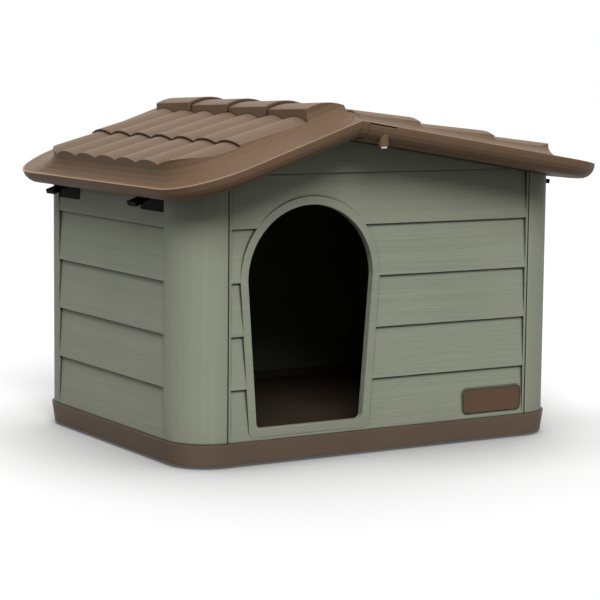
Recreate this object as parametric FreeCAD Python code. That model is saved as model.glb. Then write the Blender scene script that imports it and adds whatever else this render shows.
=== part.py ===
import FreeCAD
import Part
import math
import os

from FreeCAD import Vector

# A plastic dog house: moulded floor tray on four rubber feet, four wall mouldings with
# lap-board faces, and a tiled roof in two halves.  The short left half is latched to the
# walls, the long right half lifts on a rolled hinge edge just right of the ridge caps.
# Millimetres, +Z up, front towards -Y, origin on the floor under the middle of the house.

# --- tray and feet -----------------------------------------------------------------
foot_height = 4.0          # how far each foot stands out below the tray
foot_width = 30.0          # square pads
foot_corner = 6.0          # bevel on a pad's upright corners
foot_inset = 46.0          # foot centre from the wall planes
foot_plug = 9.0            # height of the plug that holds a foot in the tray
foot_plug_width = 12.0
foot_clearance = 0.15
tray_height = 25.0
tray_margin = 3.0          # tray edge outside the wall planes
tray_taper = 3.5           # how much the tray narrows towards its foot edge
tray_shell = 3.5
tray_boss_wall = 4.0       # tray boss outside the foot pad
locating_rim = 10.0        # upstand that keeps the walls in place
locating_rim_wall = 3.0

# --- walls -------------------------------------------------------------------------
wall_width = 528.0
wall_depth = 394.0
wall_thickness = 6.5
corner_radius = 49.6
seam_inset = 51.6          # front and rear seams from the side wall planes
seam_gap = 0.6
board_pitch = 61.3
board_lap = 3.5            # how deep each board's top lies behind the next board
board_margin = 3.2         # flush strip between a panel's seam and its boards
side_board_front = 58.6    # where the side boards start behind the front plane
side_board_rear = 54.8     # and where they end before the rear plane
fit_gap = 0.4              # between mouldings that plug together

# --- doorway -----------------------------------------------------------------------
door_radius = 85.0
door_centre = 162.5        # from the left wall plane
door_spring = 185.5        # height of the arch centre above the wall foot
door_sill = 13.8
door_sill_half_width = 72.3
door_band = 9.6            # flush band round the opening
door_band_corner = 7.0
door_reveal = 9.5          # depth of the opening's edge

# --- name plate (bare) -------------------------------------------------------------
plate_width = 85.0
plate_height = 28.5
plate_from_seam = 7.8      # right end of the plate from the right seam
plate_rise = 7.5           # above the wall foot
plate_corner = 5.0
plate_thickness = 2.2
plate_border = 1.6         # raised bead of wall round the plate's recess

# --- roof rim planes, heights above the wall foot ----------------------------------
side_overhang = 36.0
front_overhang = 69.0
rear_overhang = 37.0
ridge_from_left = 184.0
rim_height_left = 292.7
rim_height_right = 308.8
rim_height_ridge = 368.9
rim_corner_radius = 79.6
lip_depth = 20.0           # rim down to the soffit
lip_round = 16.5           # quarter round under the lip
lip_steps = 5              # facets of that round
lid_gap = 0.5              # between the lifting half and the walls
roof_shell = 4.0

# --- tile relief -------------------------------------------------------------------
relief_front_inset = 40.0
relief_rear_inset = 90.0
relief_corner_radius = 58.0
tile_columns = 7
tile_rise = 4.9            # crest above valley
flare_steps = 5            # facets of the flare up to the tiles

# --- ridge caps --------------------------------------------------------------------
cap_count = 4
cap_reach_left = 48.5      # cap's left edge from the ridge plane
cap_crest_offset = 18.0    # crest from the ridge plane
cap_side_height = 12.5     # left edge above the rim height at the ridge
cap_crest_height = 19.5
cap_right_height = 16.4
cap_overlap_drop = 3.6     # how much lower the rear end of a cap is
cap_overlap_narrow = 2.5

# --- hinge -------------------------------------------------------------------------
hinge_roll_radius = 8.0
hinge_gap = 1.2            # between the two halves at the ridge plane
hinge_axis_rise = 3.1      # axis above the rim height at the ridge
hinge_lug_radius = 7.0
hinge_lug_length = 11.0
hinge_swing_gap = 0.8
pin_diameter = 3.0
pin_clearance = 0.08       # running fit in the rolled edge
pin_press_gap = 0.02       # fit in the lugs
pin_reach = 26.0           # how far a pin goes into the rolled edge
pin_seat = 4.5             # and into its lug, which closes the bore
ear_radius = 16.8
ear_left_of_ridge = 6.5    # ear's centre from the ridge plane
ear_below_rim = 7.6        # ear's centre below the rim height at the ridge
ear_length = 12.0
boss_from_ridge = 34.0
boss_inset = 7.5           # from the lip's outer face
boss_radius = 6.0
boss_drop = 4.5            # below the soffit
slot_start = 12.5          # slot along the lip over the boss, from the ridge plane
slot_end = 48.0
slot_height = 1.4
slot_below_rim = 0.6
slot_depth = 4.0
screw_head_diameter = 9.4
screw_head_height = 1.8
screw_shank_diameter = 4.0
screw_length = 16.0
screw_slot = 1.2

# --- latches -----------------------------------------------------------------------
keeper_width = 59.0
keeper_drop = 23.0         # below the wall's top edge
keeper_face_inset = 1.2
keeper_inside = 2.5        # how far it stands into the cabin
keeper_front_left = 89.2   # centre of the left front keeper behind the front plane
keeper_front_right = 80.0
keeper_rear = 310.4        # both rear keepers
latch_width = 22.0
latch_thickness = 3.4
latch_hang = 2.6           # bolt's top face below the soffit
latch_length = 33.0
latch_throw = 8.0
latch_engagement = 5.6     # bolt inside the wall when it is closed
latch_grip_length = 10.0
latch_grip_drop = 2.0
latch_grip_ribs = 3
latch_shoe_length = 9.0
latch_shoe_width = 28.0
latch_shoe_height = 3.6
latch_shoe_lip = 2.0       # roof plastic that holds the shoe up
latch_stem_from_wall = 2.0 # stem outside the wall plane when the bolt is closed
latch_stem_width = 14.0
latch_gap = 0.4            # sideways and endways in the channel
latch_rest_gap = 0.05      # between the shoe and the lips that carry it

# --- derived places ----------------------------------------------------------------
FAR = 1000.0
wall_foot = foot_height + tray_height
wall_left = -wall_width / 2
wall_right = wall_width / 2
roof_front = -(wall_depth + front_overhang + rear_overhang) / 2
roof_rear = -roof_front
wall_front = roof_front + front_overhang
wall_rear = roof_rear - rear_overhang
ridge_x = wall_left + ridge_from_left
ridge_z = wall_foot + rim_height_ridge
relief_front = roof_front + relief_front_inset
relief_rear = roof_rear - relief_rear_inset
hinge_x = ridge_x + hinge_gap + hinge_roll_radius
hinge_z = ridge_z + hinge_axis_rise


class RoofHalf:
    """One half of the roof, drawn with its rim plane level: u runs from the ridge to the
    eave, v is the house's y and w is the height over the rim plane."""

    def __init__(self, side, run, drop, flare_height, flare_start, eave_inset, first_tile,
                 courses):
        self.side = side
        self.run = run
        self.angle = math.degrees(math.atan2(drop, run))
        self.cos = math.cos(math.radians(self.angle))
        self.length = run / self.cos
        self.lip = lip_depth * self.cos
        self.flare_height = flare_height
        self.flare_start = flare_start      # flat margin along the eave
        self.eave_inset = eave_inset
        self.first_tile = first_tile        # plain roof from the ridge to here
        # each course: horizontal run where it ends, valley height at its start and end
        self.courses = courses

    def place(self, shape):
        """Tilts a level drawing into the house."""
        placed = shape
        if self.side < 0:
            placed = shape.mirror(Vector(0, 0, 0), Vector(1, 0, 0))
        placed.rotate(Vector(0, 0, 0), Vector(0, 1, 0), self.side * self.angle)
        placed.translate(Vector(ridge_x, 0, ridge_z))
        return placed


left_half = RoofHalf(
    side=-1,
    run=ridge_from_left + side_overhang,
    drop=rim_height_ridge - rim_height_left,
    flare_height=22.0,
    flare_start=0.0,
    eave_inset=17.5,
    first_tile=0.0,
    courses=[(130.0, 10.4, 19.4), (206.0, 16.4, 21.6)],
)
right_half = RoofHalf(
    side=1,
    run=wall_width - ridge_from_left + side_overhang,
    drop=rim_height_ridge - rim_height_right,
    flare_height=16.0,
    flare_start=50.0,
    eave_inset=56.0,
    first_tile=hinge_gap + 2 * hinge_roll_radius,
    courses=[(105.0, 9.3, 13.4), (212.0, 7.3, 13.5), (324.0, 8.0, 12.7)],
)


# --- small drawing helpers ---------------------------------------------------------
def box(x0, x1, y0, y1, z0, z1):
    return Part.makeBox(x1 - x0, y1 - y0, z1 - z0, Vector(x0, y0, z0))


def square_block(x, y, width, z0, z1):
    half = width / 2
    return box(x - half, x + half, y - half, y + half, z0, z1)


def prism_along_y(points, y0, y1):
    """Solid from (x, z) points."""
    ring = [Vector(x, y0, z) for x, z in points]
    face = Part.Face(Part.makePolygon(ring + ring[:1]))
    return face.extrude(Vector(0, y1 - y0, 0))


def prism_along_x(points, x0, x1):
    """Solid from (y, z) points."""
    ring = [Vector(x0, y, z) for y, z in points]
    face = Part.Face(Part.makePolygon(ring + ring[:1]))
    return face.extrude(Vector(x1 - x0, 0, 0))


def cylinder_y(x, z, radius, y0, y1):
    return Part.makeCylinder(radius, y1 - y0, Vector(x, y0, z), Vector(0, 1, 0))


def rounded_wire(x0, x1, y0, y1, radius, z):
    """Rounded rectangle in the level plane at height z."""
    diagonal = radius * (1 - math.sqrt(0.5))
    a, b, c, d = x0 + radius, x1 - radius, y0 + radius, y1 - radius
    p = [Vector(a, y0, z), Vector(b, y0, z), Vector(x1, c, z), Vector(x1, d, z),
         Vector(b, y1, z), Vector(a, y1, z), Vector(x0, d, z), Vector(x0, c, z)]
    middles = [Vector(x1 - diagonal, y0 + diagonal, z), Vector(x1 - diagonal, y1 - diagonal, z),
               Vector(x0 + diagonal, y1 - diagonal, z), Vector(x0 + diagonal, y0 + diagonal, z)]
    edges = []
    for i, middle in enumerate(middles):
        start = p[2 * i]
        corner = p[2 * i + 1]
        after = p[(2 * i + 2) % 8]
        edges.append(Part.LineSegment(start, corner).toShape())
        edges.append(Part.Arc(corner, middle, after).toShape())
    return Part.Wire(edges)


def rounded_block(x0, x1, y0, y1, radius, z0, z1):
    face = Part.Face(rounded_wire(x0, x1, y0, y1, radius, z0))
    return face.extrude(Vector(0, 0, z1 - z0))


def wall_block(inset, z0, z1):
    """Solid over the walls' plan, moved inwards by inset."""
    return rounded_block(wall_left + inset, wall_right - inset, wall_front + inset,
                         wall_rear - inset, corner_radius - inset, z0, z1)


def fuse_all(shapes):
    joined = shapes[0].multiFuse(shapes[1:]) if len(shapes) > 1 else shapes[0]
    return joined.removeSplitter()


def save(name, shape):
    shape.exportStep("parts/" + name + ".step")
    print(name, len(shape.Solids), round(shape.Volume / 1000, 1), "cm3", shape.isValid())


# --- tray and feet -----------------------------------------------------------------
def foot_places():
    x = wall_width / 2 - foot_inset
    y0 = wall_front + foot_inset
    y1 = wall_rear - foot_inset
    return {"front_left": (-x, y0), "front_right": (x, y0),
            "rear_left": (-x, y1), "rear_right": (x, y1)}


def tray_outline(inset, z):
    return rounded_wire(wall_left - tray_margin + inset, wall_right + tray_margin - inset,
                        wall_front - tray_margin + inset, wall_rear + tray_margin - inset,
                        corner_radius + tray_margin - inset, z)


def make_tray():
    body = Part.makeLoft([tray_outline(tray_taper, foot_height), tray_outline(0, wall_foot)],
                         True, True)
    hollow = Part.makeLoft([tray_outline(tray_taper + tray_shell, foot_height - 1),
                            tray_outline(tray_shell, wall_foot - tray_shell)], True, True)
    body = body.cut(hollow)
    rim = wall_block(wall_thickness + fit_gap, wall_foot - 1, wall_foot + locating_rim)
    rim_inside = wall_block(wall_thickness + fit_gap + locating_rim_wall,
                            wall_foot - 1, wall_foot + locating_rim)
    door_room = door_block(door_band + fit_gap, wall_front, wall_front + 2 * door_reveal)
    rim = rim.cut(rim_inside).cut(door_room)
    boss_width = foot_width + 2 * tray_boss_wall
    hole_width = foot_plug_width + 2 * foot_clearance
    bosses = []
    sockets = []
    for x, y in foot_places().values():
        bosses.append(square_block(x, y, boss_width, foot_height, wall_foot - tray_shell / 2))
        sockets.append(square_block(x, y, hole_width, foot_height,
                                    foot_height + foot_plug + foot_clearance))
    return fuse_all([body, rim] + bosses).cut(Part.makeCompound(sockets))


def make_foot(x, y):
    pad = square_block(x, y, foot_width, 0, foot_height)
    upright = [e for e in pad.Edges if e.BoundBox.ZLength > foot_height / 2]
    pad = pad.makeChamfer(foot_corner, upright)
    sole = [e for e in pad.Edges if e.BoundBox.ZMax < foot_height / 2]
    pad = pad.makeChamfer(foot_height / 4, sole)
    return fuse_all([pad, square_block(x, y, foot_plug_width, foot_height,
                                       foot_height + foot_plug)])


# --- walls -------------------------------------------------------------------------
def soffit_z(x):
    """Height of the soffit over x."""
    if x < ridge_x:
        half = left_half
    else:
        half = right_half
    slope = math.tan(math.radians(half.angle))
    return ridge_z - lip_depth - slope * abs(x - ridge_x)


def under_roof():
    """Space below the soffits that the walls fill."""
    low = wall_foot - 1
    right_top = soffit_z(wall_right + side_overhang) - lid_gap
    points = [(-FAR, low), (-FAR, soffit_z(-FAR)), (ridge_x, soffit_z(ridge_x - 0.001)),
              (ridge_x, soffit_z(ridge_x) - lid_gap),
              (wall_right + side_overhang, right_top), (wall_right + side_overhang, low)]
    return prism_along_y(points, -FAR, FAR)


def board_wedge(y_face, inwards, x0, x1, level):
    """What is cut away over one lap board of a front or rear face."""
    z0 = wall_foot + level * board_pitch
    points = [(y_face - inwards, z0), (y_face, z0),
              (y_face + inwards * board_lap, z0 + board_pitch),
              (y_face - inwards, z0 + board_pitch)]
    return prism_along_x(points, x0, x1)


def side_board_wedge(x_face, inwards, level):
    z0 = wall_foot + level * board_pitch
    points = [(x_face - inwards, z0), (x_face, z0),
              (x_face + inwards * board_lap, z0 + board_pitch),
              (x_face - inwards, z0 + board_pitch)]
    return prism_along_y(points, wall_front + side_board_front, wall_rear - side_board_rear)


def wall_ring():
    """Closed ring of wall round the cabin, cut off under the roof."""
    top = ridge_z
    ring = wall_block(0, wall_foot, top).cut(wall_block(wall_thickness, wall_foot, top))
    return ring.common(under_roof())


def keeper_places(side):
    front = keeper_front_right if side > 0 else keeper_front_left
    return {"front": wall_front + front, "rear": wall_front + keeper_rear}


def keeper_block(side, y, clearance):
    """Keeper body in its wall, from its foot up to the soffit."""
    x_wall = wall_right if side > 0 else wall_left
    face = x_wall - side * keeper_face_inset
    back = x_wall - side * (wall_thickness + keeper_inside)
    half_width = keeper_width / 2 + clearance
    foot = soffit_z(x_wall) - keeper_drop
    block = box(min(face, back), max(face, back), y - half_width, y + half_width,
                foot, foot + keeper_drop * 2)
    return block.common(under_roof())


def wall_notch(side, y):
    """Opening in a side wall that a keeper sits in."""
    x_wall = wall_right if side > 0 else wall_left
    half_width = keeper_width / 2
    foot = soffit_z(x_wall) - keeper_drop
    x0 = x_wall - wall_thickness - 1
    x1 = x_wall + wall_thickness + 1
    return box(x0, x1, y - half_width, y + half_width, foot, ridge_z)


def make_side_wall(side):
    x_wall = wall_right if side > 0 else wall_left
    x_seam = x_wall - side * seam_inset
    keep = box(min(x_seam, x_wall), max(x_seam, x_wall), -FAR, FAR, 0, FAR)
    wall = wall_ring().common(keep)
    cuts = [side_board_wedge(x_wall, -side, level) for level in range(5)]
    cuts += [wall_notch(side, y) for y in keeper_places(side).values()]
    for tool in cuts:
        wall = wall.cut(tool)
    return wall


def make_keeper(side, y):
    block = keeper_block(side, y, -fit_gap / 2)
    return block.cut(latch_passage(side, y))


def end_panel(inwards):
    """Front or rear panel between the two seams, before its door and plate."""
    y_face = wall_front if inwards > 0 else wall_rear
    x0 = wall_left + seam_inset + seam_gap
    x1 = wall_right - seam_inset - seam_gap
    y_mid = y_face + inwards * wall_thickness
    keep = box(x0, x1, min(y_face, y_mid), max(y_face, y_mid), 0, FAR)
    panel = wall_ring().common(keep)
    boards = [board_wedge(y_face, inwards, x0 + board_margin, x1 - board_margin, level)
              for level in range(6)]
    return panel, Part.makeCompound(boards)


def door_block(grow, y0, y1):
    """Doorway solid: an arch over sides that draw in towards the sill."""
    x = wall_left + door_centre
    z_spring = wall_foot + door_spring
    z_sill = wall_foot + door_sill - grow
    top = door_radius + grow
    low = door_sill_half_width + grow
    p_right = Vector(x + top, y0, z_spring)
    p_left = Vector(x - top, y0, z_spring)
    p_sill_left = Vector(x - low, y0, z_sill)
    p_sill_right = Vector(x + low, y0, z_sill)
    arch = Part.Arc(p_right, Vector(x, y0, z_spring + top), p_left).toShape()
    edges = [arch,
             Part.LineSegment(p_left, p_sill_left).toShape(),
             Part.LineSegment(p_sill_left, p_sill_right).toShape(),
             Part.LineSegment(p_sill_right, p_right).toShape()]
    solid = Part.Face(Part.Wire(edges)).extrude(Vector(0, y1 - y0, 0))
    lower = [e for e in solid.Edges
             if abs(e.BoundBox.YLength - (y1 - y0)) < 0.01 and e.BoundBox.ZMax < z_sill + 1]
    return solid.makeFillet(door_band_corner, lower)


def plate_block(grow, depth):
    x = wall_right - seam_inset - seam_gap - plate_from_seam - plate_width / 2
    z = wall_foot + plate_rise
    half = plate_width / 2 + grow
    block = rounded_block(x - half, x + half, z - grow, z + plate_height + grow,
                          plate_corner + grow, -depth, 0)
    block.rotate(Vector(0, 0, 0), Vector(1, 0, 0), 90)
    block.translate(Vector(0, wall_front, 0))
    return block


def make_front_panel():
    panel, boards = end_panel(1)
    band = door_block(door_band, wall_front - 1, wall_front + board_lap + 1)
    pad = plate_block(plate_border, board_lap + 1)
    reveal = door_block(door_band, wall_front, wall_front + door_reveal)
    panel = fuse_all([panel.cut(boards.cut(band).cut(pad)), reveal])
    opening = door_block(0, wall_front - 1, wall_front + door_reveal + 1)
    return panel.cut(opening).cut(plate_block(fit_gap, plate_thickness))


def make_rear_panel():
    panel, boards = end_panel(-1)
    return panel.cut(boards)


def make_name_plate():
    return plate_block(0, plate_thickness)


# --- roof --------------------------------------------------------------------------
def half_outline(half, inset, radius, height):
    """Rim outline of one half, drawn level and moved inwards; inset is (eave, front, rear)."""
    u0 = -lip_depth
    u1 = half.length - inset[0]
    v0 = roof_front + inset[1]
    v1 = roof_rear - inset[2]
    d = radius * (1 - math.sqrt(0.5))
    p = [Vector(u0, v0, height), Vector(u1 - radius, v0, height),
         Vector(u1, v0 + radius, height), Vector(u1, v1 - radius, height),
         Vector(u1 - radius, v1, height), Vector(u0, v1, height)]
    return Part.Wire([
        Part.LineSegment(p[0], p[1]).toShape(),
        Part.Arc(p[1], Vector(u1 - d, v0 + d, height), p[2]).toShape(),
        Part.LineSegment(p[2], p[3]).toShape(),
        Part.Arc(p[3], Vector(u1 - d, v1 - d, height), p[4]).toShape(),
        Part.LineSegment(p[4], p[5]).toShape(),
        Part.LineSegment(p[5], p[0]).toShape()])


def make_slab(half):
    """Rim slab with the quarter round that turns the lip in under the soffit."""
    straight = half.lip - lip_round
    sections = [half_outline(half, (0, 0, 0), rim_corner_radius, 0)]
    for step in range(lip_steps + 1):
        turn = math.pi / 2 * step / lip_steps
        inset = lip_round * (1 - math.cos(turn))
        sections.append(half_outline(half, (inset, inset, inset), rim_corner_radius - inset,
                                     -straight - lip_round * math.sin(turn)))
    return Part.makeLoft(sections, True, True)


def relief_inset(half):
    return (half.eave_inset, relief_front_inset, relief_rear_inset)


def make_flare(half):
    """Room of the relief: a concave flare up from the rim, then upright round the tiles."""
    start = (half.flare_start, 0, 0)
    sections = []
    for step in range(flare_steps + 1):
        turn = math.pi / 2 * step / flare_steps
        share = math.sin(turn)
        inset = [low + share * (high - low) for low, high in zip(start, relief_inset(half))]
        radius = rim_corner_radius + share * (relief_corner_radius - rim_corner_radius)
        sections.append(half_outline(half, inset, radius,
                                     half.flare_height * (1 - math.cos(turn))))
    upright = Part.Face(sections[-1]).extrude(Vector(0, 0, 2 * lip_depth))
    return fuse_all([Part.makeLoft(sections, True, True), upright])


def course_spans(half):
    """Start, end and the two valley heights of each course, measured along the slope."""
    spans = []
    start = half.first_tile / half.cos
    for run_end, height_start, height_end in half.courses:
        end = run_end / half.cos
        spans.append((start, end, height_start, height_end))
        start = end
    return spans


def tile_profile(u, height):
    """Face across one course: a row of half-round tiles between flat margins."""
    pitch = (relief_rear - relief_front) / tile_columns
    edges = []
    for i in range(tile_columns):
        v = relief_front + i * pitch
        edges.append(Part.Arc(Vector(u, v, height), Vector(u, v + pitch / 2, height + tile_rise),
                              Vector(u, v + pitch, height)).toShape())
    around = [Vector(u, relief_rear, height), Vector(u, roof_rear, height),
              Vector(u, roof_rear, -lip_depth), Vector(u, roof_front, -lip_depth),
              Vector(u, roof_front, height), Vector(u, relief_front, height)]
    for first, second in zip(around, around[1:]):
        edges.append(Part.LineSegment(first, second).toShape())
    return Part.Face(Part.Wire(edges))


def make_relief(half):
    """Plain ridge strip and courses of tiles, each thicker at its lower end, in the flare."""
    spans = course_spans(half)
    first_start, first_end, first_height, end_height = spans[0]
    pieces = [box(-lip_depth, first_start, roof_front, roof_rear, -lip_depth, first_height)]
    for start, end, height_start, height_end in spans:
        reach = end
        if end == spans[-1][1]:
            reach = half.length
        rise = (height_end - height_start) * (reach - start) / (end - start)
        face = tile_profile(start, height_start)
        pieces.append(face.extrude(Vector(reach - start, 0, rise)))
    return fuse_all(pieces).common(make_flare(half))


def make_underside(half):
    """Hollow under one half, inside the walls, that leaves the roof a shell."""
    inset = wall_thickness + roof_shell
    plan = wall_block(inset, 0, FAR)
    web = hinge_gap + roof_shell + max(0, half.side) * 2 * hinge_roll_radius
    depth = 2 * lip_depth
    level = box(web, half.length, roof_front, roof_rear, -depth, -roof_shell)
    hollows = [half.place(level)]
    for start, end, height_start, height_end in course_spans(half):
        u0 = max(start, web)
        points = [(u0, -depth), (end - roof_shell, -depth),
                  (end - roof_shell, height_end - roof_shell), (u0, height_start - roof_shell)]
        void = prism_along_y(points, relief_front + roof_shell, relief_rear - roof_shell)
        field = half_outline(half, [side + roof_shell for side in relief_inset(half)],
                             relief_corner_radius - roof_shell, -depth)
        void = void.common(Part.Face(field).extrude(Vector(0, 0, 2 * depth)))
        hollows.append(half.place(void))
    return fuse_all(hollows).common(plan)


def cap_wire(y, lower, narrower):
    """Outline of a ridge cap across the ridge."""
    left = ridge_x - cap_reach_left + narrower
    foot = ridge_z - cap_side_height
    p_foot_left = Vector(left, y, foot)
    p_left = Vector(left, y, ridge_z + cap_side_height - lower)
    p_crest = Vector(ridge_x - cap_crest_offset, y, ridge_z + cap_crest_height - lower)
    p_right = Vector(ridge_x, y, ridge_z + cap_right_height - lower)
    p_foot_right = Vector(ridge_x, y, foot)
    return Part.Wire([Part.LineSegment(p_foot_left, p_left).toShape(),
                      Part.Arc(p_left, p_crest, p_right).toShape(),
                      Part.LineSegment(p_right, p_foot_right).toShape(),
                      Part.LineSegment(p_foot_right, p_foot_left).toShape()])


def make_caps():
    """Row of tapered ridge caps, each one's wide front end over the narrow end of the next;
    the foremost runs out into the flare."""
    pitch = (relief_rear - relief_front) / cap_count
    caps = []
    for i in range(cap_count):
        y = relief_front + i * pitch
        caps.append(Part.makeLoft([cap_wire(y, 0, 0),
                                   cap_wire(y + pitch, cap_overlap_drop, cap_overlap_narrow)],
                                  True, True))
    front = Part.Face(cap_wire(relief_front, 0, 0)).extrude(Vector(0, -relief_front_inset, 0))
    return caps + [front.common(left_half.place(make_flare(left_half)))]


def roof_body(half):
    """Slab and relief of one half, tilted into place and cut off at the ridge plane."""
    body = half.place(fuse_all([make_slab(half), make_relief(half)]))
    edge = half.side * FAR
    keep = box(min(ridge_x, ridge_x + edge), max(ridge_x, ridge_x + edge), -FAR, FAR, 0, FAR)
    return body.common(keep)


def hinge_ends():
    """Outer face, inner face and outward direction of the front and rear hinge lugs."""
    front = relief_front - hinge_gap
    rear = relief_rear + hinge_gap
    return {"front": (front - hinge_lug_length, front, -1),
            "rear": (rear + hinge_lug_length, rear, 1)}


def ear_region(clearance, grow_top):
    """Rounded end of the left lip that reaches past the ridge plane, at both lips."""
    x = ridge_x - ear_left_of_ridge
    z = ridge_z - ear_below_rim
    reach = ear_radius + clearance
    length = ear_length + clearance
    regions = []
    for y0, y1 in ((roof_front - 1, roof_front + length), (roof_rear - length, roof_rear + 1)):
        disc = cylinder_y(x, z, reach, y0, y1)
        above = box(x, x + reach, y0, y1, z, ridge_z + grow_top)
        regions.append(fuse_all([disc, above]))
    return Part.makeCompound(regions)


def lug_rooms(clearance):
    """Room of the hinge lugs: round about the axis and open to the left half."""
    rooms = []
    radius = hinge_lug_radius + clearance
    for outer, inner, outward in hinge_ends().values():
        y0 = min(inner, outer + outward * clearance)
        y1 = max(inner, outer + outward * clearance)
        disc = cylinder_y(hinge_x, hinge_z, radius, y0, y1)
        web = box(ridge_x - 1, hinge_x, y0, y1, hinge_z - radius, ridge_z + 2 * lip_depth)
        rooms.append(fuse_all([disc, web]))
    return rooms


def pin_bores(clearance):
    """Bores along the hinge axis, from inside each lug into the rolled edge."""
    bores = []
    radius = pin_diameter / 2 + clearance
    for outer, inner, outward in hinge_ends().values():
        closed_end = inner + outward * (pin_seat + fit_gap)
        roll_end = inner - outward * (pin_reach + fit_gap)
        bores.append(cylinder_y(hinge_x, hinge_z, radius, min(closed_end, roll_end),
                                max(closed_end, roll_end)))
    return Part.makeCompound(bores)


def make_left_roof():
    right_body = roof_body(right_half)
    reaches = [right_body.common(room) for room in [ear_region(0, 0)] + lug_rooms(0)]
    body = roof_body(left_half).cut(make_underside(left_half))
    roof = fuse_all([body] + make_caps() + reaches).cut(pin_bores(pin_press_gap))
    return roof.cut(Part.makeCompound([latch_channel(-1, y) for y in keeper_places(-1).values()]))


def boss_places():
    return {"front": roof_front + boss_inset, "rear": roof_rear - boss_inset}


def lip_slots():
    """Narrow slots in the lifting half's lips, just below the rim."""
    slots = []
    for y0, y1 in ((roof_front - 1, roof_front + slot_depth),
                   (roof_rear - slot_depth, roof_rear + 1)):
        level = box(slot_start / right_half.cos, slot_end / right_half.cos, y0, y1,
                    -slot_below_rim - slot_height, -slot_below_rim)
        slots.append(right_half.place(level))
    return slots


def ridge_ease():
    """Cut along the lifting half's lower ridge edge, so that it clears the walls."""
    bottom = soffit_z(ridge_x) - 1
    ease = hinge_roll_radius
    return prism_along_y([(ridge_x, bottom), (ridge_x + hinge_gap + ease, bottom),
                          (ridge_x + hinge_gap, bottom + ease), (ridge_x, bottom + ease)],
                         -FAR, FAR)


def make_right_roof():
    body = roof_body(right_half).cut(make_underside(right_half))
    body = body.cut(box(ridge_x - 1, ridge_x + hinge_gap, -FAR, FAR, 0, FAR))
    body = body.cut(box(ridge_x, hinge_x, -FAR, FAR, hinge_z, FAR))
    roll = cylinder_y(hinge_x, hinge_z, hinge_roll_radius, relief_front, relief_rear)
    x_boss = ridge_x + boss_from_ridge
    foot = soffit_z(x_boss) - boss_drop
    bosses = [Part.makeCylinder(boss_radius, lip_depth - 2, Vector(x_boss, y, foot))
              for y in boss_places().values()]
    body = fuse_all([body, roll] + bosses)
    cuts = [ear_region(hinge_swing_gap, lip_depth), ridge_ease(), pin_bores(pin_clearance)]
    cuts += lug_rooms(hinge_swing_gap) + lip_slots()
    cuts += [Part.makeCylinder(screw_shank_diameter / 2 + fit_gap / 2, screw_length,
                               Vector(x_boss, y, foot)) for y in boss_places().values()]
    cuts += [latch_channel(1, y) for y in keeper_places(1).values()]
    for tool in cuts:
        body = body.cut(tool)
    return body.removeSplitter()


def make_pin(inner, outward):
    seat_end = inner + outward * pin_seat
    roll_end = inner - outward * pin_reach
    return cylinder_y(hinge_x, hinge_z, pin_diameter / 2, min(seat_end, roll_end),
                      max(seat_end, roll_end))


def make_screw(y):
    x = ridge_x + boss_from_ridge
    seat = soffit_z(x) - boss_drop
    head = Part.makeCylinder(screw_head_diameter / 2, screw_head_height,
                             Vector(x, y, seat - screw_head_height))
    shank = Part.makeCylinder(screw_shank_diameter / 2, screw_length - 2, Vector(x, y, seat))
    half = screw_head_diameter * 0.3
    low = seat - screw_head_height
    cross = [box(x - half, x + half, y - screw_slot / 2, y + screw_slot / 2, low, low + 1),
             box(x - screw_slot / 2, x + screw_slot / 2, y - half, y + half, low, low + 1)]
    return fuse_all([head, shank]).cut(Part.makeCompound(cross))


# --- latches, drawn level in their half: u grows outwards --------------------------
def latch_half(side):
    return right_half if side > 0 else left_half


def bolt_end(side):
    """Where a bolt ends: inside its wall on the left, drawn back on the right."""
    half = latch_half(side)
    slope = math.radians(half.angle)
    depth = half.lip + latch_hang + latch_thickness / 2
    wall_u = (half.run - side_overhang) / half.cos + depth * math.tan(slope)
    back = latch_throw if side > 0 else 0.0
    return wall_u - latch_engagement + back


def shoe_start(side):
    return bolt_end(side) + latch_engagement + latch_stem_from_wall


def centred_box(u0, u1, y, width, z0, z1):
    return box(u0, u1, y - width / 2, y + width / 2, z0, z1)


def latch_passage(side, y):
    """Slot through a keeper for the closed bolt."""
    half = latch_half(side)
    top = -half.lip - latch_hang + latch_gap
    bottom = top - latch_thickness - 2 * latch_gap
    middle = bolt_end(side)
    reach = 2 * latch_length
    return half.place(centred_box(middle - reach, middle + reach, y, latch_width + 2 * latch_gap,
                                  bottom, top))


def latch_channel(side, y):
    """T-shaped channel in the soffit that the latch's shoe and stem run in."""
    half = latch_half(side)
    inner = shoe_start(side) - latch_gap
    outer = shoe_start(side) + latch_shoe_length + latch_gap
    if side > 0:
        inner -= latch_throw
    else:
        outer += latch_throw
    low = -half.lip + latch_shoe_lip
    wide = centred_box(inner, outer, y, latch_shoe_width + 2 * latch_gap, low,
                       low + latch_shoe_height + latch_gap)
    mouth = centred_box(inner, outer, y, latch_stem_width + 2 * latch_gap, -half.lip - 1, low)
    return half.place(fuse_all([wide, mouth]))


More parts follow.
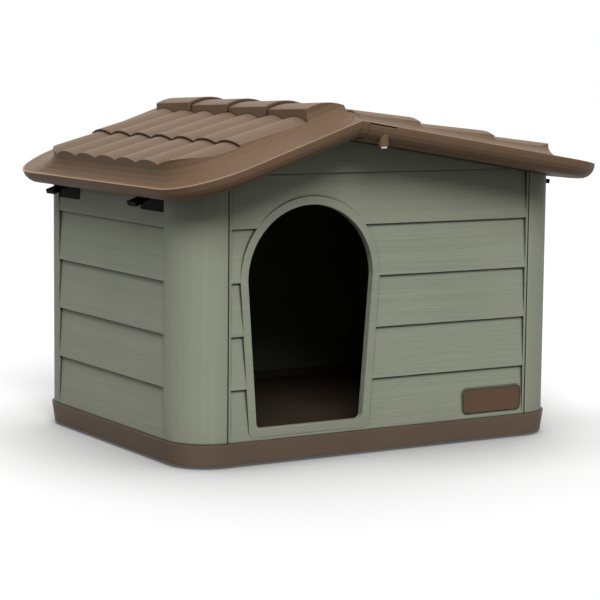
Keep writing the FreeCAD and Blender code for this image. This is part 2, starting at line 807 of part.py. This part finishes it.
def make_latch(side, y):
    """Bolt and finger grip under the soffit, hung from a shoe that runs in the channel."""
    half = latch_half(side)
    start = shoe_start(side)
    end = start + latch_shoe_length
    low = -half.lip + latch_shoe_lip
    top = -half.lip - latch_hang
    bottom = top - latch_thickness
    inner = bolt_end(side)
    outer = inner + latch_length
    grip_start = outer - latch_grip_length
    latch = fuse_all([
        centred_box(start, end, y, latch_shoe_width, low + latch_rest_gap,
                    low + latch_shoe_height),
        centred_box(start, end, y, latch_stem_width, bottom, low + latch_shoe_height),
        centred_box(inner, outer, y, latch_width, bottom, top),
        centred_box(grip_start, outer, y, latch_width, bottom - latch_grip_drop, bottom)])
    pitch = latch_grip_length / (latch_grip_ribs + 1)
    grooves = []
    for i in range(latch_grip_ribs):
        u = grip_start + pitch * (i + 1)
        grooves.append(centred_box(u - pitch / 4, u + pitch / 4, y, latch_width,
                                   bottom - latch_grip_drop, bottom - latch_grip_drop / 2))
    return half.place(latch.cut(Part.makeCompound(grooves)))


# --- whole house -------------------------------------------------------------------
def main():
    os.makedirs("parts", exist_ok=True)
    save("base_tray", make_tray())
    for name, (x, y) in foot_places().items():
        save("foot_" + name, make_foot(x, y))
    save("left_wall", make_side_wall(-1))
    save("right_wall", make_side_wall(1))
    save("front_panel", make_front_panel())
    save("rear_panel", make_rear_panel())
    save("name_plate", make_name_plate())
    save("roof_left", make_left_roof())
    save("roof_right", make_right_roof())
    for name, (outer, inner, outward) in hinge_ends().items():
        save("hinge_pin_" + name, make_pin(inner, outward))
    for name, y in boss_places().items():
        save("hinge_screw_" + name, make_screw(y))
    for side, side_name in ((-1, "left_"), (1, "right_")):
        for name, y in keeper_places(side).items():
            save("keeper_" + side_name + name, make_keeper(side, y))
            save("latch_" + side_name + name, make_latch(side, y))


main()
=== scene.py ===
import math

import bpy
from mathutils import Matrix, Vector


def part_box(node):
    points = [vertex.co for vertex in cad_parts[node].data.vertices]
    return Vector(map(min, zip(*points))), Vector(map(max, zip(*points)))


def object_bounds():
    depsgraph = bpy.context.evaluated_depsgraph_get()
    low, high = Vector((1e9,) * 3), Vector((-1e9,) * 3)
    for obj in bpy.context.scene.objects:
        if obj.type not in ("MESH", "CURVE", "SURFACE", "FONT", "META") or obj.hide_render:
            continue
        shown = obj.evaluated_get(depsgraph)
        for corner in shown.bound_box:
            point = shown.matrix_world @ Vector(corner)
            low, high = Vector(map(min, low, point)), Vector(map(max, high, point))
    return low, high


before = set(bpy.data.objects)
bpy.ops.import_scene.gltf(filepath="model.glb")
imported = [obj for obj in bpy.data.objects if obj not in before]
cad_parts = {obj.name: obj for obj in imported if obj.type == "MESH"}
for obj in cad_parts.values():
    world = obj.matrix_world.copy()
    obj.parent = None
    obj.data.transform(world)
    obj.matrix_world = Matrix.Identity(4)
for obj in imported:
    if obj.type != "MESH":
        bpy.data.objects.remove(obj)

cad_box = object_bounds()

# --- lap-board walls ---------------------------------------------------------------
# Four thin mouldings of sage green plastic: a flat front and rear panel and two side
# walls with rounded corners.  The mould leaves a matt skin and an embossed wood grain,
# level on the boards and upright on the corners.  Shade is painted into the laps and
# seams, under the eaves and on the faces inside the cabin.
SAGE = (0.282, 0.298, 0.228, 1.0)
SAGE_DEEP = (0.262, 0.278, 0.211, 1.0)
SAGE_GLOSS = 0.18
LEVEL_GRAIN = (9.0, 9.0, 560.0)          # grain lines per metre along X, Y and Z
UPRIGHT_GRAIN = (620.0, 620.0, 9.0)
SIDE_RELIEF = 0.35                       # strength of the emboss
PANEL_RELIEF = 0.55
GRAIN_HEIGHT = 0.00030
GRAIN_DRIFT = (0.004, 0.004, 0.004)      # how far the grain lines wander
SKIN_HEIGHT = 0.00012
PIN_POINTS = 900.0                       # of the mould's fine texture, per metre
CLOUDS = 9.0                             # patches of faint clouding, per metre
EDGE_ROUNDING_AND_HIGHLIGHT_WIDTH = 0.0012                    # of the rounding and of the painted highlight along sharp edges
HOLLOW_SHADE_REACH = 0.0028                    # of the painted shade in hollow corners
WALL_CORNER = 0.0496                     # radius of the house's upright corners
WALL_DEPTH = 0.006                       # faces deeper than this lie in the cabin
DOORWAY_DEPTH = 0.0093                   # and behind the turned-in edge of the doorway
BOARD_FRONT = 0.0586                     # side boards start behind the front plane
BOARD_REAR = 0.0548                      # and end before the rear plane
SEAM_FROM_SIDE = 0.0519                  # middle of the upright seams, from a side plane
SEAM_HALF_WIDTH = 0.0010
EAVE_SHADE_REACH = 0.09                  # painted shade deepens the sheltered strip under the eaves
EAVE_SHADE_TONE = 0.45
CABIN_SHADE_TONE = 0.30                        # painted shade on the faces inside the cabin
# tone of the painted shade in the seam gaps
SEAM_SHADE_TONE = 0.22


def put(tree, kind, inputs, **settings):
    """New node whose inputs are set to values or linked to sockets."""
    made = tree.nodes.new(kind)
    for name, value in settings.items():
        setattr(made, name, value)
    for name, value in inputs.items():
        if isinstance(value, bpy.types.NodeSocket):
            tree.links.new(value, made.inputs[name])
        else:
            made.inputs[name].default_value = value
    return made


def math_node(tree, operation, a, b=0.0):
    return put(tree, "ShaderNodeMath", {0: a, 1: b}, operation=operation).outputs[0]


def vector_node(tree, operation, *vectors):
    made = put(tree, "ShaderNodeVectorMath", dict(enumerate(vectors)), operation=operation)
    return made.outputs["Value" if operation in ("DOT_PRODUCT", "LENGTH") else "Vector"]


def scaled(tree, vector, factor):
    return put(tree, "ShaderNodeVectorMath", {0: vector, "Scale": factor},
               operation="SCALE").outputs["Vector"]


def ramp(tree, value, low, high, to_low=0.0, to_high=1.0):
    """Straight ramp between two values, level beyond them."""
    return put(tree, "ShaderNodeMapRange", {
        "Value": value, "From Min": low, "From Max": high,
        "To Min": to_low, "To Max": to_high}).outputs["Result"]


def mixed(tree, kind, factor, a, b):
    return put(tree, "ShaderNodeMix", {"Factor": factor, "A": a, "B": b},
               data_type=kind).outputs["Result"]


def noise(tree, place, scale, detail, roughness=0.5, distortion=0.0):
    return put(tree, "ShaderNodeTexNoise", {
        "Vector": place, "Scale": scale, "Detail": detail,
        "Roughness": roughness, "Distortion": distortion}).outputs


def place_on_part(tree):
    """Place in the frame of the part, which stays with the piece as it moves."""
    return put(tree, "ShaderNodeTexCoord", {}).outputs["Object"]


def openness(tree, reach, samples):
    """1 on open faces, less where something stands within reach."""
    return put(tree, "ShaderNodeAmbientOcclusion", {"Distance": reach},
               samples=samples).outputs["AO"]


def new_group(name, inputs, outputs):
    """Shader node group, with what it is given and what it puts out."""
    group = bpy.data.node_groups.new(name, "ShaderNodeTree")
    for label, kind, value in inputs:
        socket = group.interface.new_socket(label, in_out="INPUT", socket_type=kind)
        socket.default_value = value
    for label, kind in outputs:
        group.interface.new_socket(label, in_out="OUTPUT", socket_type=kind)
    given = group.nodes.new("NodeGroupInput").outputs
    result = group.nodes.new("NodeGroupOutput").inputs
    return group, given, result


def make_grain():
    """Embossed wood: fine broken lines along the grain with a slow wave through them."""
    group, given, result = new_group(
        "embossed_grain",
        [("Frequency", "NodeSocketVector", LEVEL_GRAIN), ("Wave", "NodeSocketFloat", 0.6)],
        [("Height", "NodeSocketFloat"), ("Streak", "NodeSocketFloat")])
    place = place_on_part(group)
    drift = noise(group, place, scale=14.0, detail=1.0)["Color"]
    shifted = vector_node(group, "MULTIPLY_ADD", drift, GRAIN_DRIFT, place)
    stretched = vector_node(group, "MULTIPLY", shifted, given["Frequency"])
    lines = noise(group, stretched, scale=1.0, detail=5.0, roughness=0.62,
                  distortion=given["Wave"])["Fac"]
    group.links.new(ramp(group, lines, 0.38, 0.62), result["Height"])
    slow = vector_node(group, "MULTIPLY", stretched, (0.3, 0.3, 0.3))
    group.links.new(noise(group, slow, scale=1.0, detail=3.0)["Fac"], result["Streak"])
    return group


def make_skin():
    """Moulded skin: pin-point texture, faint clouding, a painted highlight along sharp edges
    and painted shade in hollows.
    """
    group, given, result = new_group(
        "moulded_skin",
        [("Base", "NodeSocketColor", (0.5, 0.5, 0.5, 1.0)),
         ("Deep", "NodeSocketColor", (0.4, 0.4, 0.4, 1.0)),
         ("Speckle", "NodeSocketFloat", 0.05),
         ("Edge Highlight", "NodeSocketFloat", 0.25),
         ("Hollow Shade", "NodeSocketFloat", 0.10)],
        [("Color", "NodeSocketColor"), ("Roughness", "NodeSocketFloat"),
         ("Height", "NodeSocketFloat"), ("Normal", "NodeSocketVector")])
    place = place_on_part(group)
    cloud = noise(group, place, scale=CLOUDS, detail=4.0)["Fac"]
    ground = mixed(group, "RGBA", ramp(group, cloud, 0.3, 0.7), given["Deep"], given["Base"])
    grit = noise(group, place, scale=PIN_POINTS, detail=2.0)["Fac"]
    speck = math_node(group, "MULTIPLY", ramp(group, grit, 0.35, 0.65, -1.0, 1.0),
                      given["Speckle"])
    # Paler colour along sharp edges is a painted highlight, where the rounded normal turns
    # away from the face.
    rounded = put(group, "ShaderNodeBevel", {"Radius": EDGE_ROUNDING_AND_HIGHLIGHT_WIDTH},
                  samples=4).outputs["Normal"]
    faces = put(group, "ShaderNodeNewGeometry", {}).outputs["Normal"]
    edge_highlight_mask = ramp(group, vector_node(group, "DOT_PRODUCT", rounded, faces), 0.995, 0.90)
    painted_highlight = math_node(group, "MULTIPLY", edge_highlight_mask, given["Edge Highlight"])
    speck_and_highlight = math_node(group, "ADD", math_node(group, "ADD", speck, painted_highlight), 1.0)
    # Darker colour in hollows, laps and grooves, where shade falls: painted shade.
    hollow_shade = ramp(group, openness(group, HOLLOW_SHADE_REACH, samples=6), 0.62, 0.90,
                given["Hollow Shade"])
    gain = math_node(group, "MULTIPLY", speck_and_highlight, hollow_shade)
    group.links.new(scaled(group, ground, gain), result["Color"])
    group.links.new(ramp(group, grit, 0.0, 1.0, 0.50, 0.66), result["Roughness"])
    group.links.new(grit, result["Height"])
    group.links.new(rounded, result["Normal"])
    return group


def make_outline():
    """Distance of a point from a round-cornered rectangle, below 0 inside it."""
    group, given, result = new_group(
        "round_cornered_outline",
        [("Point", "NodeSocketVector", (0.0, 0.0, 0.0)),
         ("Centre", "NodeSocketVector", (0.0, 0.0, 0.0)),
         ("Half Size", "NodeSocketVector", (0.1, 0.1, 0.0)),
         ("Radius", "NodeSocketFloat", 0.01)],
        [("Distance", "NodeSocketFloat")])
    folded = vector_node(group, "ABSOLUTE", vector_node(
        group, "SUBTRACT", given["Point"], given["Centre"]))
    straight = vector_node(group, "SUBTRACT", given["Half Size"], given["Radius"])
    past = vector_node(group, "MULTIPLY", vector_node(group, "SUBTRACT", folded, straight),
                       (1.0, 1.0, 0.0))
    outwards = vector_node(group, "LENGTH", vector_node(
        group, "MAXIMUM", past, (0.0, 0.0, 0.0)))
    sides = put(group, "ShaderNodeSeparateXYZ", {0: past}).outputs
    inwards = math_node(group, "MINIMUM", math_node(group, "MAXIMUM", sides["X"], sides["Y"]))
    whole = math_node(group, "ADD", outwards, inwards)
    group.links.new(math_node(group, "SUBTRACT", whole, given["Radius"]), result["Distance"])
    return group


def make_patch():
    """Deeper or lighter tone of a colour where a mask is 1."""
    group, given, result = new_group(
        "patch_tone",
        [("Color", "NodeSocketColor", (0.5, 0.5, 0.5, 1.0)),
         ("Mask", "NodeSocketFloat", 0.0),
         ("Tone", "NodeSocketFloat", 0.3)],
        [("Color", "NodeSocketColor")])
    toned = scaled(group, given["Color"], given["Tone"])
    group.links.new(mixed(group, "RGBA", given["Mask"], given["Color"], toned),
                    result["Color"])
    return group


grain_group = make_grain()
skin_group = make_skin()
outline_group = make_outline()
patch_group = make_patch()


def place_group(tree, group, inputs):
    return put(tree, "ShaderNodeGroup", inputs, node_tree=group).outputs


def empty_material(name):
    """Material with its tree and its shader."""
    material = bpy.data.materials.new(name)
    material.use_nodes = True
    return material, material.node_tree, material.node_tree.nodes["Principled BSDF"]


def dress(name, material):
    """Gives a carried node its finish."""
    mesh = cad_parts[name].data
    mesh.materials.clear()
    mesh.materials.append(material)


def retone(material, mask, tone):
    """Deepens or lifts the colour of a finish where the mask is 1."""
    tree = material.node_tree
    colour = tree.nodes["Principled BSDF"].inputs["Base Color"]
    patch = place_group(tree, patch_group, {
        "Color": colour.links[0].from_socket, "Mask": mask, "Tone": tone})
    tree.links.new(patch["Color"], colour)


wall_low, wall_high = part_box("left_wall")


def inside_cabin(tree, depth):
    """1 on faces that lie deeper than this behind the walls' outer face."""
    distance = place_group(tree, outline_group, {
        "Point": place_on_part(tree),
        "Centre": (0, (wall_high.y + wall_low.y) / 2, 0),
        "Half Size": (-wall_low.x, (wall_high.y - wall_low.y) / 2, 0),
        "Radius": WALL_CORNER})["Distance"]
    return math_node(tree, "LESS_THAN", distance, -depth)


def beyond_side_boards(tree):
    """1 on the rounded corners, before and behind the boards of a side wall."""
    y = put(tree, "ShaderNodeSeparateXYZ", {0: place_on_part(tree)}).outputs["Y"]
    return math_node(
        tree, "MAXIMUM", math_node(tree, "LESS_THAN", y, wall_low.y + BOARD_FRONT),
        math_node(tree, "GREATER_THAN", y, wall_high.y - BOARD_REAR))


def on_seam(tree):
    """1 along the upright seams between the side walls and the end panels."""
    x = put(tree, "ShaderNodeSeparateXYZ", {0: place_on_part(tree)}).outputs["X"]
    from_seam = math_node(tree, "SUBTRACT", math_node(tree, "ABSOLUTE", x),
                          -wall_low.x - SEAM_FROM_SIDE)
    return math_node(tree, "LESS_THAN", math_node(tree, "ABSOLUTE", from_seam),
                     SEAM_HALF_WIDTH)


def sage_finish(name, inside_depth, relief, upright=None):
    """Sage plastic with embossed grain, upright where that mask says."""
    material, tree, shader = empty_material(name)
    skin = place_group(tree, skin_group, {"Base": SAGE, "Deep": SAGE_DEEP,
                                          "Speckle": 0.035, "Edge Highlight": 0.25})
    grain = place_group(tree, grain_group, {"Frequency": LEVEL_GRAIN, "Wave": 0.8})
    height, streak = grain["Height"], grain["Streak"]
    if upright:
        mask = upright(tree)
        corner_grain = place_group(tree, grain_group, {"Frequency": UPRIGHT_GRAIN,
                                                       "Wave": 0.4})
        height = mixed(tree, "FLOAT", mask, height, corner_grain["Height"])
        streak = mixed(tree, "FLOAT", mask, streak, corner_grain["Streak"])
    streaked = scaled(tree, skin["Color"], ramp(tree, streak, 0.3, 0.7, 0.95, 1.03))
    # Darker colour where the wall is sheltered, most under the eaves: painted shade.
    painted_eave_shade = ramp(tree, openness(tree, EAVE_SHADE_REACH, samples=8), 0.25, 0.80,
                      EAVE_SHADE_TONE)
    tree.links.new(scaled(tree, streaked, painted_eave_shade), shader.inputs["Base Color"])
    # Painted shade on the faces inside the cabin.
    retone(material, inside_cabin(tree, inside_depth), CABIN_SHADE_TONE)
    # Painted shade along the upright seams, in the gaps between walls and panels.
    retone(material, on_seam(tree), SEAM_SHADE_TONE)
    emboss = put(tree, "ShaderNodeBump", {
        "Strength": relief, "Distance": GRAIN_HEIGHT, "Height": height,
        "Normal": skin["Normal"]}).outputs["Normal"]
    texture = put(tree, "ShaderNodeBump", {
        "Strength": 0.35, "Distance": SKIN_HEIGHT, "Height": skin["Height"],
        "Normal": emboss}).outputs["Normal"]
    tree.links.new(skin["Roughness"], shader.inputs["Roughness"])
    tree.links.new(texture, shader.inputs["Normal"])
    shader.inputs["Specular IOR Level"].default_value = SAGE_GLOSS
    return material


side_wall_finish = sage_finish("sage_side_wall", WALL_DEPTH, SIDE_RELIEF, beyond_side_boards)
front_panel_finish = sage_finish("sage_front_panel", DOORWAY_DEPTH, PANEL_RELIEF)
dress("left_wall", side_wall_finish)
dress("right_wall", side_wall_finish)
dress("front_panel", front_panel_finish)
dress("rear_panel", sage_finish("sage_rear_panel", WALL_DEPTH, PANEL_RELIEF))

# --- floor tray --------------------------------------------------------------------
# The shallow tray that the walls stand in is a brown moulding of the roof's family,
# pressed in one piece, with the same fine matt skin as the walls and no grain.
TRAY_BROWN = (0.140, 0.097, 0.067, 1.0)
TRAY_BROWN_DEEP = (0.124, 0.086, 0.059, 1.0)
TRAY_GLOSS = 0.18
TRAY_FLOOR_DEPTH = 0.0095                # the cabin floor starts behind the rim


def plain_finish(name, base, deep, speckle, edge_highlight, gloss, skin_height=0.0002):
    """Moulded plastic or rubber without grain."""
    material, tree, shader = empty_material(name)
    skin = place_group(tree, skin_group, {"Base": base, "Deep": deep, "Speckle": speckle,
                                          "Edge Highlight": edge_highlight})
    texture = put(tree, "ShaderNodeBump", {
        "Strength": 0.5, "Distance": skin_height, "Height": skin["Height"],
        "Normal": skin["Normal"]}).outputs["Normal"]
    tree.links.new(skin["Color"], shader.inputs["Base Color"])
    tree.links.new(skin["Roughness"], shader.inputs["Roughness"])
    tree.links.new(texture, shader.inputs["Normal"])
    shader.inputs["Specular IOR Level"].default_value = gloss
    return material


tray_finish = plain_finish("tray_brown", TRAY_BROWN, TRAY_BROWN_DEEP, speckle=0.06,
                           edge_highlight=0.3, gloss=TRAY_GLOSS)
# Painted shade on the tray's floor inside the cabin.
retone(tray_finish, inside_cabin(tray_finish.node_tree, TRAY_FLOOR_DEPTH), CABIN_SHADE_TONE)
dress("base_tray", tray_finish)

# --- rubber feet -------------------------------------------------------------------
# Four square pads of soft black rubber, each with a plug that snaps into a boss under
# the tray.
RUBBER = (0.020, 0.020, 0.020, 1.0)
RUBBER_GLOSS = 0.18

rubber_finish = plain_finish("foot_rubber", RUBBER, RUBBER, speckle=0.10, edge_highlight=0.1,
                             gloss=RUBBER_GLOSS)
for foot in ("front_left", "front_right", "rear_left", "rear_right"):
    dress("foot_" + foot, rubber_finish)

# --- name plate --------------------------------------------------------------------
# A bare chip of brown plastic pressed into a pocket low on the front panel.  Shade in the
# narrow gap round it is painted on the panel as a dark outline.
PLATE_BROWN = (0.112, 0.067, 0.040, 1.0)
PLATE_BROWN_DEEP = (0.100, 0.059, 0.035, 1.0)
PLATE_GLOSS = 0.18
PLATE_CORNER = 0.005
PLATE_GAP = 0.0014                       # width of the painted shade outline
PLATE_GAP_SHADE_TONE = 0.15

dress("name_plate", plain_finish("plate_brown", PLATE_BROWN, PLATE_BROWN_DEEP,
                                 speckle=0.05, edge_highlight=0.2, gloss=PLATE_GLOSS))
plate_low, plate_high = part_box("name_plate")


def round_the_plate(tree):
    """1 on the panel in the plate's pocket and along its edge."""
    parts = put(tree, "ShaderNodeSeparateXYZ", {0: place_on_part(tree)}).outputs
    face = put(tree, "ShaderNodeCombineXYZ", {"X": parts["X"], "Y": parts["Z"]})
    distance = place_group(tree, outline_group, {
        "Point": face.outputs["Vector"],
        "Centre": ((plate_low.x + plate_high.x) / 2, (plate_low.z + plate_high.z) / 2, 0),
        "Half Size": ((plate_high.x - plate_low.x) / 2,
                      (plate_high.z - plate_low.z) / 2, 0),
        "Radius": PLATE_CORNER})["Distance"]
    return math_node(tree, "LESS_THAN", distance, PLATE_GAP)


# Painted shade in the gap round the name plate.
retone(front_panel_finish, round_the_plate(front_panel_finish.node_tree), PLATE_GAP_SHADE_TONE)

# --- tiled roof halves -------------------------------------------------------------
# Two shells of taupe plastic with a fine dark speckle and a soft sheen.  The left half
# carries the ridge caps, and the right half lifts on its rolled edge.  A thin painted
# highlight runs along the rim's sharp upper edge.
TAUPE = (0.150, 0.094, 0.057, 1.0)
TAUPE_DEEP = (0.134, 0.083, 0.049, 1.0)
TAUPE_GLOSS = 0.12
TAUPE_SKIN_HEIGHT = 0.0003
ROOF_CORNER = 0.0796
RIM_HIGHLIGHT_WIDTH = 0.0018                        # width of the painted highlight along the rim
RIM_HIGHLIGHT_TONE = 2.4
RIM_FACE_TILT = 0.25                     # least Z of the normal of an upper face

roof_low, roof_high = cad_box
roof_finish = plain_finish("roof_taupe", TAUPE, TAUPE_DEEP, speckle=0.14, edge_highlight=0.7,
                           gloss=TAUPE_GLOSS, skin_height=TAUPE_SKIN_HEIGHT)


def along_the_rim(tree):
    """1 on the outermost strip of the roof's upper faces."""
    distance = place_group(tree, outline_group, {
        "Point": place_on_part(tree),
        "Centre": ((roof_low.x + roof_high.x) / 2, (roof_low.y + roof_high.y) / 2, 0),
        "Half Size": ((roof_high.x - roof_low.x) / 2, (roof_high.y - roof_low.y) / 2, 0),
        "Radius": ROOF_CORNER})["Distance"]
    faces = put(tree, "ShaderNodeNewGeometry", {}).outputs["True Normal"]
    tilt = put(tree, "ShaderNodeSeparateXYZ", {0: faces}).outputs["Z"]
    return math_node(tree, "MULTIPLY", math_node(tree, "GREATER_THAN", tilt, RIM_FACE_TILT),
                     math_node(tree, "GREATER_THAN", distance, -RIM_HIGHLIGHT_WIDTH))


# Painted highlight along the rim's upper edge.
retone(roof_finish, along_the_rim(roof_finish.node_tree), RIM_HIGHLIGHT_TONE)
dress("roof_left", roof_finish)
dress("roof_right", roof_finish)

# --- eave latches and keepers ------------------------------------------------------
# Matt black slides under the eaves and the black pockets in the side walls that they
# shoot into, two on each side.
LATCH_BLACK = (0.003, 0.003, 0.003, 1.0)
LATCH_GLOSS = 0.02

latch_finish = plain_finish("latch_black", LATCH_BLACK, LATCH_BLACK, speckle=0.15,
                            edge_highlight=0.3, gloss=LATCH_GLOSS)
for side in ("left", "right"):
    for end in ("front", "rear"):
        dress("keeper_" + side + "_" + end, latch_finish)
        dress("latch_" + side + "_" + end, latch_finish)

# --- hinge pins and screws ---------------------------------------------------------
# Plain steel dowels and cross-head screws, turned, then plated with bright zinc that
# shows faint turning marks.
ZINC = (0.62, 0.63, 0.64, 1.0)
ZINC_DULL = (0.48, 0.49, 0.50, 1.0)
ZINC_ROUGHNESS = 0.28
TURNING_MARKS = 1400.0                   # per metre

zinc_finish, zinc_tree, zinc_shader = empty_material("zinc_plate")
marks = noise(zinc_tree, place_on_part(zinc_tree), scale=TURNING_MARKS, detail=2.0)["Fac"]
zinc_tree.links.new(mixed(zinc_tree, "RGBA", marks, ZINC, ZINC_DULL),
                    zinc_shader.inputs["Base Color"])
zinc_shader.inputs["Metallic"].default_value = 1.0
zinc_shader.inputs["Roughness"].default_value = ZINC_ROUGHNESS
for end in ("front", "rear"):
    dress("hinge_pin_" + end, zinc_finish)
    dress("hinge_screw_" + end, zinc_finish)

# --- studio floor ------------------------------------------------------------------
# A wide plain pale floor.  What the camera sees of it is white with the house's soft
# shadow and a painted contact shadow round the house, and what it throws back on the
# house is as weak as in a wide studio.
FLOOR_HALF = 9.0
FLOOR_SEEN = (0.80, 0.80, 0.80, 1.0)
FLOOR_THROWN = (0.16, 0.16, 0.16, 1.0)
FLOOR_GLOW = 0.09
CONTACT_REACH = 0.20                     # how far the painted contact shadow spreads
CONTACT_SHADOW_TONE = 0.45


def seen_directly(tree):
    """1 for camera rays and for what metal and glass show, 0 for light on the house."""
    path = tree.nodes.new("ShaderNodeLightPath").outputs
    mirrored = math_node(tree, "MAXIMUM", path["Is Glossy Ray"], path["Is Transmission Ray"])
    return math_node(tree, "MAXIMUM", path["Is Camera Ray"], mirrored)


floor_mesh = bpy.data.meshes.new("floor")
floor_mesh.from_pydata([(-FLOOR_HALF, -FLOOR_HALF, 0), (FLOOR_HALF, -FLOOR_HALF, 0),
                        (FLOOR_HALF, FLOOR_HALF, 0), (-FLOOR_HALF, FLOOR_HALF, 0)],
                       [], [(0, 1, 2, 3)])
floor = bpy.data.objects.new("floor", floor_mesh)
bpy.context.scene.collection.objects.link(floor)
floor_finish, floor_tree, floor_shader = empty_material("floor_pale")
floor_seen = seen_directly(floor_tree)
floor_tone = mixed(floor_tree, "RGBA", floor_seen, FLOOR_THROWN, FLOOR_SEEN)
# Painted contact shadow: the floor's colour darkens near the house.
painted_contact_shadow = ramp(floor_tree, openness(floor_tree, CONTACT_REACH, samples=12), 0.45, 1.0,
               CONTACT_SHADOW_TONE)
floor_tree.links.new(scaled(floor_tree, floor_tone, painted_contact_shadow),
                     floor_shader.inputs["Base Color"])
floor_tree.links.new(math_node(floor_tree, "MULTIPLY", floor_seen, FLOOR_GLOW),
                     floor_shader.inputs["Emission Strength"])
floor_shader.inputs["Emission Color"].default_value = (1.0, 1.0, 1.0, 1.0)
floor_shader.inputs["Roughness"].default_value = 0.9
floor_shader.inputs["Specular IOR Level"].default_value = 0.0
floor_mesh.materials.append(floor_finish)

# --- backdrop and lamps ------------------------------------------------------------
# A white backdrop, a soft key lamp from the front left, a very soft one overhead and a
# weak one from behind.
BACKDROP_LIGHT = 0.23                    # what the backdrop throws on the house
BACKDROP_SEEN = 1.0

world = bpy.data.worlds.new("studio")
bpy.context.scene.world = world
world.use_nodes = True
backdrop = world.node_tree.nodes["Background"]
backdrop.inputs["Color"].default_value = (1.0, 1.0, 1.0, 1.0)
world.node_tree.links.new(
    ramp(world.node_tree, seen_directly(world.node_tree), 0.0, 1.0,
         BACKDROP_LIGHT, BACKDROP_SEEN), backdrop.inputs["Strength"])


def soft_sun(name, from_direction, spread, strength):
    """Distant soft lamp; at strength 1 a white surface that faces it renders white."""
    light = bpy.data.lights.new(name, "SUN")
    light.angle = math.radians(spread)
    light.energy = strength * math.pi
    lamp = bpy.data.objects.new(name, light)
    lamp.rotation_euler = Vector(from_direction).to_track_quat("Z", "Y").to_euler()
    bpy.context.scene.collection.objects.link(lamp)


soft_sun("key", (-0.32, -0.69, 0.65), spread=30, strength=0.90)
soft_sun("overhead", (0.0, 0.15, 0.98), spread=70, strength=0.30)
soft_sun("back_fill", (0.45, 0.70, 0.60), spread=60, strength=0.20)

# --- camera ------------------------------------------------------------------------
# A long lens a little above the house's height, off its left front corner, level but
# for a slight tilt down and roll.
CAMERA_PLACE = (-1.3536, -2.1894, 0.4737)
CAMERA_YAW = math.radians(-31.615)
CAMERA_PITCH = math.radians(6.870)
CAMERA_ROLL = math.radians(0.591)
FOCAL_LENGTH = 123.46
SENSOR_WIDTH = 36

level_right = Vector((math.cos(CAMERA_YAW), math.sin(CAMERA_YAW), 0))
backwards = Vector((math.sin(CAMERA_YAW) * math.cos(CAMERA_PITCH),
                    -math.cos(CAMERA_YAW) * math.cos(CAMERA_PITCH), math.sin(CAMERA_PITCH)))
level_up = backwards.cross(level_right)
right = math.cos(CAMERA_ROLL) * level_right + math.sin(CAMERA_ROLL) * level_up
up = math.cos(CAMERA_ROLL) * level_up - math.sin(CAMERA_ROLL) * level_right
lens = bpy.data.cameras.new("camera")
lens.lens = FOCAL_LENGTH
lens.sensor_width = SENSOR_WIDTH
lens.clip_end = 100
camera = bpy.data.objects.new("camera", lens)
turn = Matrix((right, up, backwards)).transposed()
camera.matrix_world = Matrix.Translation(CAMERA_PLACE) @ turn.to_4x4()
bpy.context.scene.collection.objects.link(camera)
bpy.context.scene.camera = camera
bpy.context.scene.view_settings.view_transform = "Standard"
